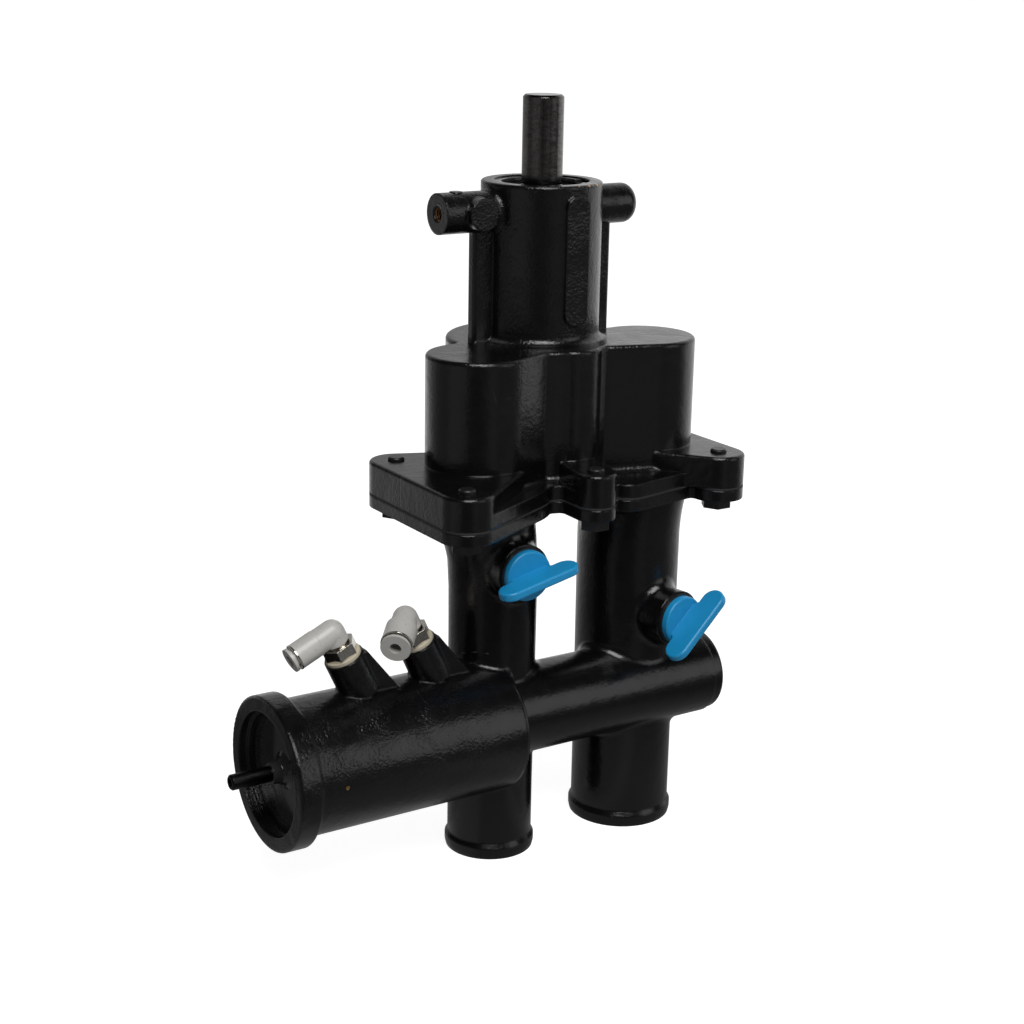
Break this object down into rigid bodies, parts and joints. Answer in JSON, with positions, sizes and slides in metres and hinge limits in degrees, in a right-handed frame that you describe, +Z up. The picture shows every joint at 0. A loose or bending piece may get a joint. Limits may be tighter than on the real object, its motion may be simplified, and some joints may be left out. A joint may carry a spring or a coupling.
{
  "type": "seawater pump",
  "caption": "Vertical flexible-impeller water pump with two hose tails, hand drain plugs and an air-operated drain valve",
  "frame": {"origin": "on the drive shaft's axis in the plane of the barrel's top face", "axes": "+Z up along the drive shaft; -X towards the air cylinder's end cap; -Y towards the drain plugs"},
  "size_m": [0.2036, 0.11, 0.2787],
  "materials": {
    "black_paint": "semi-gloss black paint over bronze castings",
    "shaft_steel": "dark satin ground steel",
    "bearing_steel": "polished",
    "bolt_steel": "black oxide",
    "bronze": "machined",
    "seal_rubber": "moulded",
    "impeller_rubber": "moulded",
    "gasket_paper": "oiled fibre sheet",
    "plug_blue": "moulded, satin",
    "fitting_white": "moulded",
    "fitting_nickel": "bright nickel plate",
    "cap_black": "glossy black",
    "indicator_steel": "dark satin steel"
  },
  "bodies": {
    "root": {"pump_housing": "black_paint", "manifold_casting": "black_paint", "cross_tube_cap": "black_paint", "flange_gasket": "gasket_paper", "flange_bolts": "bolt_steel", "wear_plate": "bronze", "cam_insert": "bronze", "barrel_retaining_ring": "bearing_steel", "dust_seal": "seal_rubber", "upper_bearing_outer_ring": "bearing_steel", "bearing_spacer": "bearing_steel", "lower_bearing_outer_ring": "bearing_steel", "water_seal": "seal_rubber", "cylinder_end_cap": "cap_black", "end_cap_seal": "seal_rubber", "cap_retaining_ring": "bearing_steel", "outer_fitting_stud": "fitting_nickel", "outer_fitting_seal": "seal_rubber", "inner_fitting_stud": "fitting_nickel", "inner_fitting_seal": "seal_rubber"},
    "rotor": {"drive_shaft": "shaft_steel", "shaft_clip": "bearing_steel", "upper_bearing_inner_ring": "bearing_steel", "lower_bearing_inner_ring": "bearing_steel", "slinger_ring": "seal_rubber", "impeller_key": "bearing_steel", "impeller_hub": "bronze", "impeller": "impeller_rubber"},
    "upper_balls": {"upper_bearing_balls": "bearing_steel"},
    "lower_balls": {"lower_bearing_balls": "bearing_steel"},
    "drain_valve": {"drain_stem": "indicator_steel", "actuator_piston": "bronze", "piston_nut": "bearing_steel", "piston_seal": "seal_rubber", "left_valve_seal": "seal_rubber", "right_valve_seal": "seal_rubber"},
    "left_plug_ring": {"left_plug_seal": "seal_rubber"},
    "left_plug": {"left_drain_plug": "plug_blue"},
    "right_plug_ring": {"right_plug_seal": "seal_rubber"},
    "right_plug": {"right_drain_plug": "plug_blue"},
    "outer_swivel": {"outer_elbow": "fitting_white"},
    "outer_ring": {"outer_release_ring": "fitting_white"},
    "inner_swivel": {"inner_elbow": "fitting_white"},
    "inner_ring": {"inner_release_ring": "fitting_white"}
  },
  "joints": [
    {"name": "shaft_spin", "type": "hinge", "parent": "root", "child": "rotor", "pos_m": [0, 0, 0], "axis": [0, 0, 1], "continuous": true},
    {"name": "upper_balls_spin", "type": "hinge", "parent": "root", "child": "upper_balls", "pos_m": [0, 0, -0.0143], "axis": [0, 0, 1], "continuous": true},
    {"name": "lower_balls_spin", "type": "hinge", "parent": "root", "child": "lower_balls", "pos_m": [0, 0, -0.0343], "axis": [0, 0, 1], "continuous": true},
    {"name": "stem_slide", "type": "slide", "parent": "root", "child": "drain_valve", "axis": [-1, 0, 0], "range_m": [0, 0.01]},
    {"name": "left_plug_travel", "type": "slide", "parent": "root", "child": "left_plug_ring", "axis": [0, -1, 0], "range_m": [0, 0.008]},
    {"name": "left_plug_turn", "type": "hinge", "parent": "left_plug_ring", "child": "left_plug", "pos_m": [-0.0306, -0.0401, -0.1345], "axis": [0, -1, 0], "range_deg": [0, 1440]},
    {"name": "right_plug_travel", "type": "slide", "parent": "root", "child": "right_plug_ring", "axis": [0.1392, -0.9903, 0], "range_m": [0, 0.008]},
    {"name": "right_plug_turn", "type": "hinge", "parent": "right_plug_ring", "child": "right_plug", "pos_m": [0.0346, -0.04693, -0.161], "axis": [0.1392, -0.9903, 0], "range_deg": [0, 1440]},
    {"name": "outer_elbow_swivel", "type": "hinge", "parent": "root", "child": "outer_swivel", "pos_m": [-0.10152, -0.0272, -0.1481], "axis": [-0.4226, 0, 0.9063], "range_deg": [-90, 90]},
    {"name": "outer_ring_press", "type": "slide", "parent": "outer_swivel", "child": "outer_ring", "axis": [0.9063, 0, 0.4226], "range_m": [0, 0.0008], "stiffness_N_per_m": 200},
    {"name": "inner_elbow_swivel", "type": "hinge", "parent": "root", "child": "inner_swivel", "pos_m": [-0.07222, -0.0272, -0.1481], "axis": [-0.4226, 0, 0.9063], "range_deg": [-40, 100]},
    {"name": "inner_ring_press", "type": "slide", "parent": "inner_swivel", "child": "inner_ring", "axis": [0.6296, 0.7193, 0.2936], "range_m": [0, 0.0008], "stiffness_N_per_m": 200}
  ],
  "couplings": [
    {"joint": "upper_balls_spin", "follows": "shaft_spin", "ratio": 0.382},
    {"joint": "lower_balls_spin", "follows": "shaft_spin", "ratio": 0.382},
    {"joint": "left_plug_travel", "follows": "left_plug_turn", "m_per_rad": 0.000318},
    {"joint": "right_plug_travel", "follows": "right_plug_turn", "m_per_rad": 0.000318}
  ]
}
